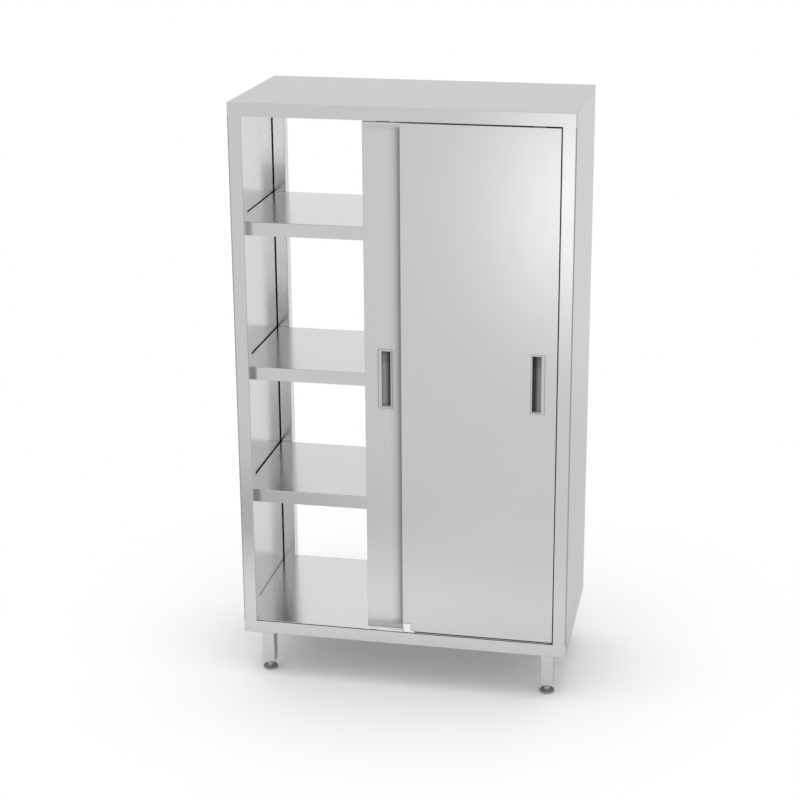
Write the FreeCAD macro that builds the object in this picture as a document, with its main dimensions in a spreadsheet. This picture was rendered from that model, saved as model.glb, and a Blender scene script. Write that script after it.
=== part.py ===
import FreeCAD, Part
import math
import os
import Sketcher
from FreeCAD import Vector

# Stainless steel cabinet with sliding doors on its front and on its back, in millimetres.
# X runs along the width, the front is at -Y, Z is up and the floor is at zero.

# ---------------------------------------------------------------- driving dimensions

SIZES = [
    # the whole carcass
    ("cabinet_width", 1000.0),
    ("cabinet_depth", 500.0),
    ("carcass_height", 1652.5),
    ("ground_clearance", 147.5),
    ("sheet", 1.2),
    ("frame_face", 40.0),
    ("bend_radius", 3.0),
    ("fold_radius", 2.0),
    ("side_gap", 3.0),
    ("hem_height", 8.0),
    ("rail_return", 15.0),
    # cabinet floor
    ("floor_rise", 3.0),
    ("floor_setback", 2.0),
    ("floor_overhang", 8.0),
    ("post_clearance", 0.4),
    ("notch_width", 24.0),
    ("notch_depth", 3.0),
    ("notch_centre", -91.0),
    # shelves and what carries them
    ("upper_shelf_height", 1443.0),
    ("middle_shelf_height", 1000.0),
    ("lower_shelf_height", 608.0),
    ("shelf_edge", 40.0),
    ("shelf_return", 12.0),
    ("shelf_clearance", 0.3),
    ("stiffener_width", 60.0),
    ("stiffener_height", 18.0),
    ("stiffener_flange", 14.0),
    ("stiffener_end_gap", 30.0),
    ("bracket_sheet", 2.0),
    ("bracket_width", 28.0),
    ("bracket_rise", 30.0),
    ("bracket_length", 60.0),
    ("bracket_inset", 25.0),
    # doors
    ("door_sheet", 1.0),
    ("door_depth", 14.0),
    ("door_edge_radius", 1.0),
    ("outer_door_width", 457.0),
    ("inner_door_width", 480.0),
    ("door_recess", 5.0),
    ("door_side_gap", 3.0),
    ("door_top_gap", 5.0),
    ("door_floor_gap", 1.4),
    ("lane_pitch", 17.5),
    ("lane_drop", 2.0),
    ("inner_door_showing", 112.0),
    # recessed handles
    ("handle_width", 42.0),
    ("handle_height", 182.0),
    ("handle_proud", 2.0),
    ("handle_bevel", 1.8),
    ("recess_width", 27.0),
    ("recess_height", 171.0),
    ("recess_offset", 3.0),
    ("recess_shallow", 6.0),
    ("recess_deep", 11.5),
    ("recess_trough", 6.5),
    ("cup_wall", 1.0),
    ("outer_handle_height", 1007.0),
    ("inner_handle_height", 992.0),
    ("outer_handle_inset", 55.0),
    ("inner_handle_inset", 61.0),
    # track, hangers and rollers
    ("track_wall", 1.5),
    ("track_end_gap", 6.0),
    ("ledge_drop", 27.0),
    ("ledge_width", 8.0),
    ("ledge_lip", 1.2),
    ("ledge_lip_height", 2.0),
    ("roller_radius", 10.7),
    ("roller_width", 5.6),
    ("roller_side_gap", 0.5),
    ("rolling_gap", 0.3),
    ("axle_radius", 3.0),
    ("axle_clearance", 0.05),
    ("hanger_plate", 2.5),
    ("hanger_width", 34.0),
    ("hanger_foot", 12.0),
    ("hanger_inset", 60.0),
    ("hanger_corner", 6.0),
    ("hanger_setback", 1.0),
    ("hanger_above_axle", 8.0),
    ("outer_door_travel", 430.0),
    ("stop_length", 12.0),
    ("stop_height", 11.0),
    # floor guide
    ("guide_inset", 3.5),
    ("guide_width", 21.0),
    ("guide_toe", 11.0),
    ("guide_height", 26.5),
    ("guide_base", 0.8),
    ("guide_toe_height", 5.2),
    ("guide_clearance", 0.7),
    # legs and feet
    ("leg_size", 38.0),
    ("leg_wall", 1.5),
    ("leg_corner", 3.0),
    ("leg_inset_x", 62.0),
    ("leg_inset_y", 64.0),
    ("leg_end_height", 29.0),
    ("leg_plate_size", 90.0),
    ("leg_plate", 3.0),
    ("plug_height", 16.0),
    ("stud_radius", 5.0),
    ("stud_clearance", 0.05),
    ("stud_top", 80.0),
    ("collar_flats", 17.0),
    ("collar_height", 8.5),
    ("pad_radius", 22.5),
    ("pad_height", 8.5),
]

DOCUMENT = FreeCAD.newDocument("sliding_door_cabinet")
SHEET = DOCUMENT.addObject("Spreadsheet::Sheet", "Sizes")
for row, (alias, number) in enumerate(SIZES, start=1):
    SHEET.set(f"A{row}", alias)
    SHEET.set(f"B{row}", str(number))
    SHEET.setAlias(f"B{row}", alias)
DOCUMENT.recompute()


class Size:
    """A length that knows its number and the spreadsheet expression that gives it."""

    def __init__(self, number, text):
        self.number = number
        self.text = text

    def __add__(self, other):
        return Size(self.number + number_of(other), f"({self.text} + {text_of(other)})")

    def __sub__(self, other):
        return Size(self.number - number_of(other), f"({self.text} - {text_of(other)})")

    def __mul__(self, factor):
        return Size(self.number * factor, f"({self.text} * {factor})")

    def __truediv__(self, divisor):
        return Size(self.number / divisor, f"({self.text} / {divisor})")

    def __neg__(self):
        return Size(-self.number, f"(-1 * {self.text})")


def number_of(value):
    return value.number if isinstance(value, Size) else float(value)


def text_of(value):
    return value.text if isinstance(value, Size) else str(float(value))


def size(alias):
    return Size(float(SHEET.get(alias)), f"Sizes.{alias}")


def bind(feature, name, value):
    """Tie one property of a feature to the spreadsheet."""
    feature.setExpression(name, text_of(value))


# ---------------------------------------------------------------- modelling helpers

PLANES = {"X": "YZ_Plane", "Y": "XZ_Plane", "Z": "XY_Plane"}
SAME_PLACE = 0.001


def new_body(label):
    body = DOCUMENT.addObject("PartDesign::Body", label)
    body.Label = label
    return body


def new_sketch(body, along, start, loops):
    """Sketch of closed loops, square to an axis and standing at start on it.

    A loop is a list of corners, each a pair of Sizes or numbers: (Y, Z) for a sketch along X,
    (X, Z) for one along Y, (X, Y) for one along Z. A loop of one corner and a radius is a circle.
    """
    sketch = body.newObject("Sketcher::SketchObject", f"{body.Name}_sketch")
    plane = [item for item in body.Origin.OriginFeatures if item.Role == PLANES[along]][0]
    sketch.AttachmentSupport = [(plane, "")]
    sketch.MapMode = "FlatFace"
    bind(sketch, ".AttachmentOffset.Base.z", -start if along == "Y" else start)
    for loop in loops:
        if len(loop) == 3 and not isinstance(loop[0], tuple):
            draw_circle(sketch, *loop)
        else:
            draw_polygon(sketch, loop)
    return sketch


def pin_point(sketch, geometry, point, corner):
    """Hold a point at its distances from the sketch's origin."""
    for kind, value, axis in (("DistanceX", corner[0], -2), ("DistanceY", corner[1], -1)):
        if not isinstance(value, Size) and value == 0:
            sketch.addConstraint(Sketcher.Constraint("PointOnObject", geometry, point, axis))
        else:
            constraint = Sketcher.Constraint(kind, -1, 1, geometry, point, number_of(value))
            index = sketch.addConstraint(constraint)
            bind(sketch, f"Constraints[{index}]", value)


def draw_polygon(sketch, corners):
    first = sketch.GeometryCount
    count = len(corners)
    for index in range(count):
        here = [number_of(value) for value in corners[index]]
        there = [number_of(value) for value in corners[(index + 1) % count]]
        sketch.addGeometry(Part.LineSegment(Vector(*here, 0), Vector(*there, 0)))
    for index in range(count):
        following = first + (index + 1) % count
        sketch.addConstraint(Sketcher.Constraint("Coincident", first + index, 2, following, 1))
    for index in range(count):
        pin_point(sketch, first + index, 1, corners[index])


def draw_circle(sketch, across, up, radius):
    centre = Vector(number_of(across), number_of(up), 0)
    geometry = sketch.addGeometry(Part.Circle(centre, Vector(0, 0, 1), number_of(radius)))
    pin_point(sketch, geometry, 3, (across, up))
    index = sketch.addConstraint(Sketcher.Constraint("Radius", geometry, number_of(radius)))
    bind(sketch, f"Constraints[{index}]", radius)


def pad(body, along, start, length, *loops):
    """Add material from start, towards +X, +Y or +Z."""
    feature = body.newObject("PartDesign::Pad", f"{body.Name}_pad")
    feature.Profile = new_sketch(body, along, start, loops)
    feature.Reversed = along == "Y"
    feature.Length = number_of(length)
    bind(feature, "Length", length)
    return feature


def pocket(body, along, start, length, *loops):
    """Cut material away from start, towards +X, +Y or +Z."""
    before = solid_of(body).Volume
    feature = body.newObject("PartDesign::Pocket", f"{body.Name}_pocket")
    feature.Profile = new_sketch(body, along, start, loops)
    feature.Reversed = along != "Y"
    feature.Length = number_of(length)
    bind(feature, "Length", length)
    if not solid_of(body).Volume < before:
        raise RuntimeError(f"{body.Label}: a pocket cuts nothing")
    return feature


def solid_of(body):
    DOCUMENT.recompute()
    return body.Tip.Shape


def box_loop(low, high):
    """Corners of a rectangle from its lowest to its highest corner."""
    return [(low[0], low[1]), (high[0], low[1]), (high[0], high[1]), (low[0], high[1])]


def limits(shape):
    """Lowest and highest corner of an edge or a face."""
    box = shape.BoundBox
    return (box.XMin, box.YMin, box.ZMin), (box.XMax, box.YMax, box.ZMax)


def edges_along(shape, along, places):
    """Names of the straight edges that run along an axis through one of the places."""
    across = [axis for axis in (0, 1, 2) if axis != "XYZ".index(along)]
    wanted = [tuple(number_of(value) for value in place) for place in places]
    names = []
    for number, edge in enumerate(shape.Edges, start=1):
        low, high = limits(edge)
        is_straight = all(high[axis] - low[axis] < SAME_PLACE for axis in across)
        spot = [low[axis] for axis in across]
        if is_straight and any(math.dist(spot, place) < SAME_PLACE for place in wanted):
            names.append(f"Edge{number}")
    return names


def names_at_level(kind, pieces, along, level):
    """Names of the edges or faces that lie wholly at one level of an axis."""
    axis = "XYZ".index(along)
    names = []
    for number, piece in enumerate(pieces, start=1):
        low, high = limits(piece)
        if max(abs(low[axis] - number_of(level)), abs(high[axis] - number_of(level))) < SAME_PLACE:
            names.append(f"{kind}{number}")
    return names


def edges_at_level(shape, along, level):
    return names_at_level("Edge", shape.Edges, along, level)


def faces_at_level(shape, along, level):
    return names_at_level("Face", shape.Faces, along, level)


def round_edges(body, names, radius):
    feature = body.newObject("PartDesign::Fillet", f"{body.Name}_fillet")
    feature.Base = (feature.BaseFeature, names)
    feature.Radius = number_of(radius)
    bind(feature, "Radius", radius)
    DOCUMENT.recompute()


def bevel_edges(body, names, width):
    feature = body.newObject("PartDesign::Chamfer", f"{body.Name}_chamfer")
    feature.Base = (feature.BaseFeature, names)
    feature.Size = number_of(width)
    bind(feature, "Size", width)
    DOCUMENT.recompute()


def hollow_out(body, open_faces, wall):
    """Turn a solid into a sheet of one wall thickness, open at the named faces."""
    before = solid_of(body).Volume
    feature = body.newObject("PartDesign::Thickness", f"{body.Name}_shell")
    feature.Base = (feature.BaseFeature, open_faces)
    feature.Value = number_of(wall)
    feature.Reversed = True
    bind(feature, "Value", wall)
    if not solid_of(body).Volume < before:
        raise RuntimeError(f"{body.Label}: the shell removes nothing")


def mirrored(source, label, normal):
    """The same piece on the other side of the cabinet's middle."""
    feature = DOCUMENT.addObject("Part::Mirroring", label)
    feature.Label = label
    feature.Source = source
    feature.Normal = normal
    return feature


def grouped(label, pieces):
    """Several equal pieces kept together under one name."""
    feature = DOCUMENT.addObject("Part::Compound", label)
    feature.Label = label
    feature.Links = pieces
    return feature


LEFT_RIGHT = Vector(1, 0, 0)
FRONT_REAR = Vector(0, 1, 0)

# ---------------------------------------------------------------- places worked out from the sizes

sheet = size("sheet")
half_width = size("cabinet_width") / 2
half_depth = size("cabinet_depth") / 2
underside = size("ground_clearance")
top = underside + size("carcass_height")
rail_top = underside + size("frame_face")
fascia_bottom = top - size("frame_face")
post_x = half_width - size("frame_face")
post_y = half_depth - size("frame_face")
web_inside = half_width - sheet
shelf_end = web_inside - size("side_gap")
floor_top = rail_top + size("floor_rise")
door_bottom = floor_top + size("door_floor_gap")

OUTER_LANE = 0
INNER_LANE = 1


def lane_front(lane):
    """Y of the outer face of a front door in its lane."""
    return -half_depth + size("door_recess") + size("lane_pitch") * lane


def door_top(lane):
    return fascia_bottom - size("door_top_gap") - size("lane_drop") * lane


def hanger_front(lane):
    return lane_front(lane) + size("hanger_setback")


def ledge_front(lane):
    return hanger_front(lane) + size("hanger_plate") + size("roller_side_gap")


def ledge_top(lane):
    return top - size("ledge_drop") - size("lane_drop") * lane


def axle_level(lane):
    return ledge_top(lane) + size("rolling_gap") + size("roller_radius")


# ---------------------------------------------------------------- carcass


def side_panel(label):
    """The left wall with its two corner posts, one sheet folded four times at each end."""
    body = new_body(label)
    fold_inside = post_x + sheet
    face_inside = half_depth - sheet
    return_inside = post_y + sheet
    outline = [
        (-shelf_end, -post_y), (-post_x, -post_y), (-post_x, -half_depth), (-half_width, -half_depth),
        (-half_width, half_depth), (-post_x, half_depth), (-post_x, post_y), (-shelf_end, post_y),
        (-shelf_end, return_inside), (-fold_inside, return_inside), (-fold_inside, face_inside),
        (-web_inside, face_inside), (-web_inside, -face_inside), (-fold_inside, -face_inside),
        (-fold_inside, -return_inside), (-shelf_end, -return_inside),
    ]
    pad(body, "Z", rail_top, fascia_bottom - rail_top, outline)
    corner = [(-half_width, side) for side in (-half_depth, half_depth)]
    round_edges(body, edges_along(solid_of(body), "Z", corner), size("bend_radius"))
    fold = [(-post_x, side) for side in (-half_depth, half_depth, -post_y, post_y)]
    round_edges(body, edges_along(solid_of(body), "Z", fold), size("fold_radius"))
    return body


def folded_tray(body, low, high, open_level, plate_level):
    """A tray over the whole footprint, bent round at its plate and its upright corners."""
    footprint = box_loop((-half_width, -half_depth), (half_width, half_depth))
    pad(body, "Z", low, high - low, footprint)
    hollow_out(body, faces_at_level(solid_of(body), "Z", open_level), sheet)
    tray = solid_of(body)
    names = edges_along(tray, "Z", footprint) + edges_at_level(tray, "Z", plate_level)
    round_edges(body, names, size("bend_radius"))


def ring_loops(half_x, half_y, width_in):
    """Outer and inner rectangle of a flat ring."""
    outer = box_loop((-half_x, -half_y), (half_x, half_y))
    inner_x = half_x - width_in
    inner_y = half_y - width_in
    return outer, box_loop((-inner_x, -inner_y), (inner_x, inner_y))


def top_panel(label):
    """The top with the rails folded down all round, hemmed at the front and the back."""
    body = new_body(label)
    folded_tray(body, fascia_bottom, top, fascia_bottom, top)
    hem_end = half_width - size("bend_radius")
    hem_outside = half_depth - sheet
    hem_inside = hem_outside - sheet
    for low, high in ((-hem_outside, -hem_inside), (hem_inside, hem_outside)):
        hem = box_loop((low, fascia_bottom), (high, fascia_bottom + size("hem_height")))
        pad(body, "X", -hem_end, hem_end * 2, hem)
    return body


def bottom_panel(label):
    """The bottom with the rails folded down all round and their lower edges turned in."""
    body = new_body(label)
    folded_tray(body, underside, rail_top, rail_top, underside)
    open_x = half_width - size("rail_return")
    open_y = half_depth - size("rail_return")
    pocket(body, "Z", underside, sheet, box_loop((-open_x, -open_y), (open_x, open_y)))
    inside_y = half_depth - sheet
    pad(body, "Z", rail_top - sheet, sheet, box_loop((-web_inside, -inside_y), (web_inside, inside_y)))
    return body


def cross_loop(wide_x, wide_y, narrow_x, far_y):
    """A sheet with its corners notched for the four posts."""
    return [
        (-narrow_x, -far_y), (narrow_x, -far_y), (narrow_x, -wide_y), (wide_x, -wide_y),
        (wide_x, wide_y), (narrow_x, wide_y), (narrow_x, far_y), (-narrow_x, far_y),
        (-narrow_x, wide_y), (-wide_x, wide_y), (-wide_x, -wide_y), (-narrow_x, -wide_y),
    ]


def cabinet_floor(label):
    """The floor sheet on the bottom panel; it overhangs its own upstand by a groove."""
    body = new_body(label)
    wide_x = shelf_end
    wide_y = post_y - size("post_clearance")
    narrow_x = post_x - size("post_clearance")
    edge_y = half_depth - size("floor_setback")
    upstand_y = edge_y - size("floor_overhang")
    pad(body, "Z", floor_top - sheet, sheet, cross_loop(wide_x, wide_y, narrow_x, edge_y))
    outside = cross_loop(wide_x, wide_y, narrow_x, upstand_y)
    inside = cross_loop(wide_x - sheet, wide_y - sheet, narrow_x - sheet, upstand_y - sheet)
    pad(body, "Z", rail_top, size("floor_rise") - sheet, outside, inside)
    notch_left = size("notch_centre") - size("notch_width") / 2
    notch_right = size("notch_centre") + size("notch_width") / 2
    notch = box_loop((notch_left, -half_depth), (notch_right, -edge_y + size("notch_depth")))
    pocket(body, "Z", floor_top - sheet, sheet, notch)
    return body


def shelf(label, height):
    """A shelf: one sheet with deep folded edges, turned in at the bottom."""
    body = new_body(label)
    half_y = post_y - size("shelf_clearance")
    lower_edge = height - size("shelf_edge")
    block = box_loop((-shelf_end, -half_y), (shelf_end, half_y))
    pad(body, "Z", lower_edge, size("shelf_edge"), block)
    hollow_out(body, faces_at_level(solid_of(body), "Z", lower_edge), sheet)
    round_edges(body, edges_at_level(solid_of(body), "Z", height), size("fold_radius"))
    ring = ring_loops(shelf_end - sheet, half_y - sheet, size("shelf_return") - sheet)
    pad(body, "Z", lower_edge, sheet, *ring)
    return body


def shelf_stiffener(label, height):
    """Hat section under the middle of a shelf."""
    body = new_body(label)
    seat = height - sheet
    crown = seat - size("stiffener_height")
    edge = size("stiffener_width") / 2
    inside = edge - size("stiffener_flange")
    outside = inside + sheet
    section = [
        (-edge, seat), (-inside, seat), (-inside, crown + sheet), (inside, crown + sheet),
        (inside, seat), (edge, seat), (edge, seat - sheet), (outside, seat - sheet),
        (outside, crown), (-outside, crown), (-outside, seat - sheet), (-edge, seat - sheet),
    ]
    end = shelf_end - size("stiffener_end_gap")
    pad(body, "X", -end, end * 2, section)
    return body


def shelf_bracket(label, height):
    """Angle under a shelf's front left corner; its upright leg stands in the gap beside the shelf."""
    body = new_body(label)
    seat = height - size("shelf_edge")
    low = seat - size("bracket_sheet")
    upright = -web_inside + size("bracket_sheet")
    section = [
        (-web_inside, low), (-web_inside + size("bracket_width"), low),
        (-web_inside + size("bracket_width"), seat), (upright, seat),
        (upright, seat + size("bracket_rise")), (-web_inside, seat + size("bracket_rise")),
    ]
    pad(body, "Y", -post_y + size("bracket_inset"), size("bracket_length"), section)
    return body


def four_corners(source):
    """A front left piece and its three mirror images."""
    front_right = mirrored(source, f"{source.Label}_right", LEFT_RIGHT)
    rear_left = mirrored(source, f"{source.Label}_rear", FRONT_REAR)
    rear_right = mirrored(front_right, f"{source.Label}_rear_right", FRONT_REAR)
    return [source, front_right, rear_left, rear_right]


# ---------------------------------------------------------------- legs and feet

leg_x = -half_width + size("leg_inset_x")
leg_y = -half_depth + size("leg_inset_y")
leg_top = rail_top - sheet - size("leg_plate")


def square_loop(half):
    return box_loop((leg_x - half, leg_y - half), (leg_x + half, leg_y + half))


def leg(label):
    """Square tube, rounded on the outside, that reaches up to the plate under the bottom panel."""
    body = new_body(label)
    outside = size("leg_size") / 2
    bore = outside - size("leg_wall")
    length = leg_top - size("leg_end_height")
    pad(body, "Z", size("leg_end_height"), length, square_loop(outside), square_loop(bore))
    corners = [(leg_x + x, leg_y + y) for x in (-outside, outside) for y in (-outside, outside)]
    round_edges(body, edges_along(solid_of(body), "Z", corners), size("leg_corner"))
    return body


def leg_plate(label):
    body = new_body(label)
    pad(body, "Z", leg_top, size("leg_plate"), square_loop(size("leg_plate_size") / 2))
    return body


def leg_plug(label):
    """Threaded plug driven into the lower end of a leg."""
    body = new_body(label)
    half = size("leg_size") / 2 - size("leg_wall")
    thread = (leg_x, leg_y, size("stud_radius") + size("stud_clearance"))
    pad(body, "Z", size("leg_end_height"), size("plug_height"), square_loop(half), thread)
    return body


def place_at_leg(body):
    bind(body, "Placement.Base.x", leg_x)
    bind(body, "Placement.Base.y", leg_y)


def foot_stud(label):
    """Threaded stud with a hexagon collar that sits on the foot's disc."""
    body = new_body(label)
    seat = size("pad_height")
    hexagon = []
    for corner in range(6):
        angle = math.radians(60 * corner)
        reach = size("collar_flats") / (2 * math.cos(math.radians(30)))
        hexagon.append((reach * math.cos(angle), reach * math.sin(angle)))
    pad(body, "Z", seat, size("collar_height"), hexagon)
    collar_top = seat + size("collar_height")
    pad(body, "Z", collar_top, size("stud_top") - collar_top, (0, 0, size("stud_radius")))
    place_at_leg(body)
    return body


def foot_pad(label):
    """Round disc that the cabinet stands on."""
    body = new_body(label)
    pad(body, "Z", 0, size("pad_height"), (0, 0, size("pad_radius")))
    place_at_leg(body)
    return body


# ---------------------------------------------------------------- doors


def recess_span(centre, towards_middle):
    """The two X limits of a handle's recess, nearer the edge of the door and nearer its middle."""
    middle = centre + size("recess_offset") * towards_middle
    reach = size("recess_width") / 2 * towards_middle
    return middle - reach, middle + reach


def cup_loop(centre, height, towards_middle):
    """Outline of the cup behind the handle's rim, which is also the hole in the door."""
    edge_side, middle_side = recess_span(centre, towards_middle)
    edge_side = edge_side - size("cup_wall") * towards_middle
    middle_side = middle_side + size("cup_wall") * towards_middle
    half = size("recess_height") / 2 + size("cup_wall")
    return box_loop((edge_side, height - half), (middle_side, height + half))


def door_skin(label, left, width, lane, handle_hole):
    """The door's front: a pan folded back all round, with the handle's hole."""
    body = new_body(label)
    wall = size("door_sheet")
    front = lane_front(lane)
    back = front + size("door_depth")
    low = (left, door_bottom)
    high = (left + width, door_top(lane))
    pad(body, "Y", front, size("door_depth"), box_loop(low, high))
    hollow_out(body, faces_at_level(solid_of(body), "Y", back), wall)
    round_edges(body, edges_at_level(solid_of(body), "Y", front), size("door_edge_radius"))
    pocket(body, "Y", front, wall, handle_hole)
    return body


def door_back(label, left, width, lane):
    """Flat sheet that closes the pan, set between its edges."""
    body = new_body(label)
    wall = size("door_sheet")
    seat = lane_front(lane) + size("door_depth") - wall
    low = (left + wall, door_bottom + wall)
    high = (left + width - wall, door_top(lane) - wall)
    pad(body, "Y", seat, wall, box_loop(low, high))
    return body


def door_handle(label, centre, height, lane, towards_middle):
    """Recessed pull: a bevelled rim on the door and a cup whose floor slopes to a deep trough."""
    body = new_body(label)
    front = lane_front(lane)
    rim_front = front - size("handle_proud")
    half_x = size("handle_width") / 2
    half_z = size("handle_height") / 2
    rim = box_loop((centre - half_x, height - half_z), (centre + half_x, height + half_z))
    pad(body, "Y", rim_front, size("handle_proud"), rim)
    bevel_edges(body, edges_at_level(solid_of(body), "Y", rim_front), size("handle_bevel"))
    depth = size("recess_deep") + size("cup_wall")
    pad(body, "Y", front, depth, cup_loop(centre, height, towards_middle))
    edge_side, middle_side = recess_span(centre, towards_middle)
    trough = middle_side - size("recess_trough") * towards_middle
    section = [
        (edge_side, rim_front), (middle_side, rim_front), (middle_side, front + size("recess_deep")),
        (trough, front + size("recess_deep")), (edge_side, front + size("recess_shallow")),
    ]
    pocket(body, "Z", height - size("recess_height") / 2, size("recess_height"), section)
    return body


def hanger(label, centre, lane):
    """Folded bracket on the door's top edge; the roller's axle is riveted into its upright."""
    body = new_body(label)
    front = hanger_front(lane)
    inside = front + size("hanger_plate")
    seat = door_top(lane)
    foot_top = seat + size("hanger_plate")
    tip = axle_level(lane) + size("hanger_above_axle")
    section = [
        (front, seat), (front + size("hanger_foot"), seat), (front + size("hanger_foot"), foot_top),
        (inside, foot_top), (inside, tip), (front, tip),
    ]
    half = size("hanger_width") / 2
    pad(body, "X", centre - half, size("hanger_width"), section)
    corners = [(centre - half, tip), (centre + half, tip)]
    bevel_edges(body, edges_along(solid_of(body), "Y", corners), size("hanger_corner"))
    axle_end = ledge_front(lane) + size("ledge_width") - size("roller_side_gap") / 2
    pad(body, "Y", inside, axle_end - inside, (centre, axle_level(lane), size("axle_radius")))
    return body


def roller(label, centre, lane):
    """Nylon wheel on the axle, just above the track's ledge."""
    body = new_body(label)
    level = axle_level(lane)
    near = ledge_front(lane) + size("ledge_lip") + size("roller_side_gap")
    bore = size("axle_radius") + size("axle_clearance")
    tread = (centre, level, size("roller_radius"))
    pad(body, "Y", near, size("roller_width"), tread, (centre, level, bore))
    return body


# ---------------------------------------------------------------- track and guide


def track(label):
    """Extruded double track: two ledges for the rollers, each with a lip, under one top plate."""
    body = new_body(label)
    ceiling = top - sheet
    wall = size("track_wall")
    lip = size("ledge_lip")
    outer_ledge = ledge_front(OUTER_LANE)
    outer_level = ledge_top(OUTER_LANE)
    inner_ledge = ledge_front(INNER_LANE)
    inner_level = ledge_top(INNER_LANE)
    outer_web = outer_ledge + size("ledge_width")
    inner_web = inner_ledge + size("ledge_width")
    lip_height = size("ledge_lip_height")
    section = [
        (outer_ledge, ceiling), (inner_web + wall, ceiling),
        (inner_web + wall, inner_level - wall), (inner_ledge, inner_level - wall),
        (inner_ledge, inner_level + lip_height), (inner_ledge + lip, inner_level + lip_height),
        (inner_ledge + lip, inner_level), (inner_web, inner_level), (inner_web, ceiling - wall),
        (outer_web + wall, ceiling - wall), (outer_web + wall, outer_level - wall),
        (outer_ledge, outer_level - wall), (outer_ledge, outer_level + lip_height),
        (outer_ledge + lip, outer_level + lip_height), (outer_ledge + lip, outer_level),
        (outer_web, outer_level), (outer_web, ceiling - wall), (outer_ledge, ceiling - wall),
    ]
    end = web_inside - size("track_end_gap")
    pad(body, "X", -end, end * 2, section)
    return body


def track_stop(label, left, lane):
    """Rubber block that a roller runs up against."""
    body = new_body(label)
    near = ledge_front(lane) + size("ledge_lip")
    far = ledge_front(lane) + size("ledge_width")
    section = box_loop((near, ledge_top(lane)), (far, ledge_top(lane) + size("stop_height")))
    pad(body, "X", left, size("stop_length"), section)
    return body


def floor_guide(label, left):
    """Nylon guide whose three cheeks keep both doors in their lanes; a toe runs out to one side."""
    body = new_body(label)
    base_top = floor_top + size("guide_base")
    tip = floor_top + size("guide_height")
    clearance = size("guide_clearance")
    front = -half_depth + size("floor_setback")
    outer_face = lane_front(OUTER_LANE) - clearance
    outer_back = lane_front(OUTER_LANE) + size("door_depth") + clearance
    inner_face = lane_front(INNER_LANE) - clearance
    inner_back = lane_front(INNER_LANE) + size("door_depth") + clearance
    back = -post_y - size("shelf_clearance")
    section = [
        (front, floor_top), (back, floor_top), (back, tip), (inner_back, tip), (inner_back, base_top),
        (inner_face, base_top), (inner_face, tip), (outer_back, tip), (outer_back, base_top),
        (outer_face, base_top), (outer_face, tip), (front, tip),
    ]
    right = left + size("guide_width")
    pad(body, "X", left, size("guide_width"), section)
    toe = box_loop((right, floor_top), (right + size("guide_toe"), floor_top + size("guide_toe_height")))
    pad(body, "Y", front, outer_face - front, toe)
    return body


# ---------------------------------------------------------------- the whole cabinet

PARTS = {}


def keep(feature):
    PARTS[feature.Label] = feature
    return feature


def keep_front_and_rear(front_piece):
    """Keep a piece named front_... and its mirror image named rear_..."""
    keep(front_piece)
    return keep(mirrored(front_piece, front_piece.Label.replace("front_", "rear_", 1), FRONT_REAR))


keep(side_panel("left_side_panel"))
keep(mirrored(PARTS["left_side_panel"], "right_side_panel", LEFT_RIGHT))
keep(top_panel("top_panel"))
keep(bottom_panel("bottom_panel"))
keep(cabinet_floor("cabinet_floor"))

stiffeners = []
brackets = []
for place in ("upper", "middle", "lower"):
    shelf_height = size(f"{place}_shelf_height")
    keep(shelf(f"{place}_shelf", shelf_height))
    stiffeners.append(shelf_stiffener(f"{place}_stiffener", shelf_height))
    brackets.extend(four_corners(shelf_bracket(f"{place}_bracket", shelf_height)))
keep(grouped("shelf_stiffeners", stiffeners))
keep(grouped("shelf_brackets", brackets))

CORNERS = ("front_left", "front_right", "rear_left", "rear_right")
for make, label in ((leg, "leg"), (foot_stud, "foot_stud"), (foot_pad, "foot_pad")):
    for piece, corner in zip(four_corners(make(f"front_left_{label}")), CORNERS):
        piece.Label = f"{corner}_{label}"
        keep(piece)
keep(grouped("leg_plates", four_corners(leg_plate("leg_plate"))))
keep(grouped("leg_plugs", four_corners(leg_plug("leg_plug"))))

# the outer door is shut at the right; the inner one is pushed open, and a strip of it shows
opening_end = post_x - size("door_side_gap")
outer_left = opening_end - size("outer_door_width")
inner_left = outer_left - size("inner_door_showing")
DOORS = [
    ("outer", OUTER_LANE, outer_left),
    ("inner", INNER_LANE, inner_left),
]
for name, lane, door_left in DOORS:
    door_width = size(f"{name}_door_width")
    handle_height = size(f"{name}_handle_height")
    if lane == OUTER_LANE:
        handle_centre = door_left + door_width - size("outer_handle_inset")
        towards_middle = -1
    else:
        handle_centre = door_left + size("inner_handle_inset")
        towards_middle = 1
    hole = cup_loop(handle_centre, handle_height, towards_middle)
    door = f"front_{name}_door"
    keep_front_and_rear(door_skin(f"{door}_skin", door_left, door_width, lane, hole))
    keep_front_and_rear(door_back(f"{door}_back", door_left, door_width, lane))
    handle = door_handle(f"{door}_handle", handle_centre, handle_height, lane, towards_middle)
    keep_front_and_rear(handle)
    hangers = []
    for hand, axle_x in (
        ("left", door_left + size("hanger_inset")),
        ("right", door_left + door_width - size("hanger_inset")),
    ):
        hangers.append(hanger(f"{name}_{hand}_hanger", axle_x, lane))
        keep_front_and_rear(roller(f"front_{name}_{hand}_roller", axle_x, lane))
    keep_front_and_rear(grouped(f"{door}_hangers", hangers))

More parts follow.
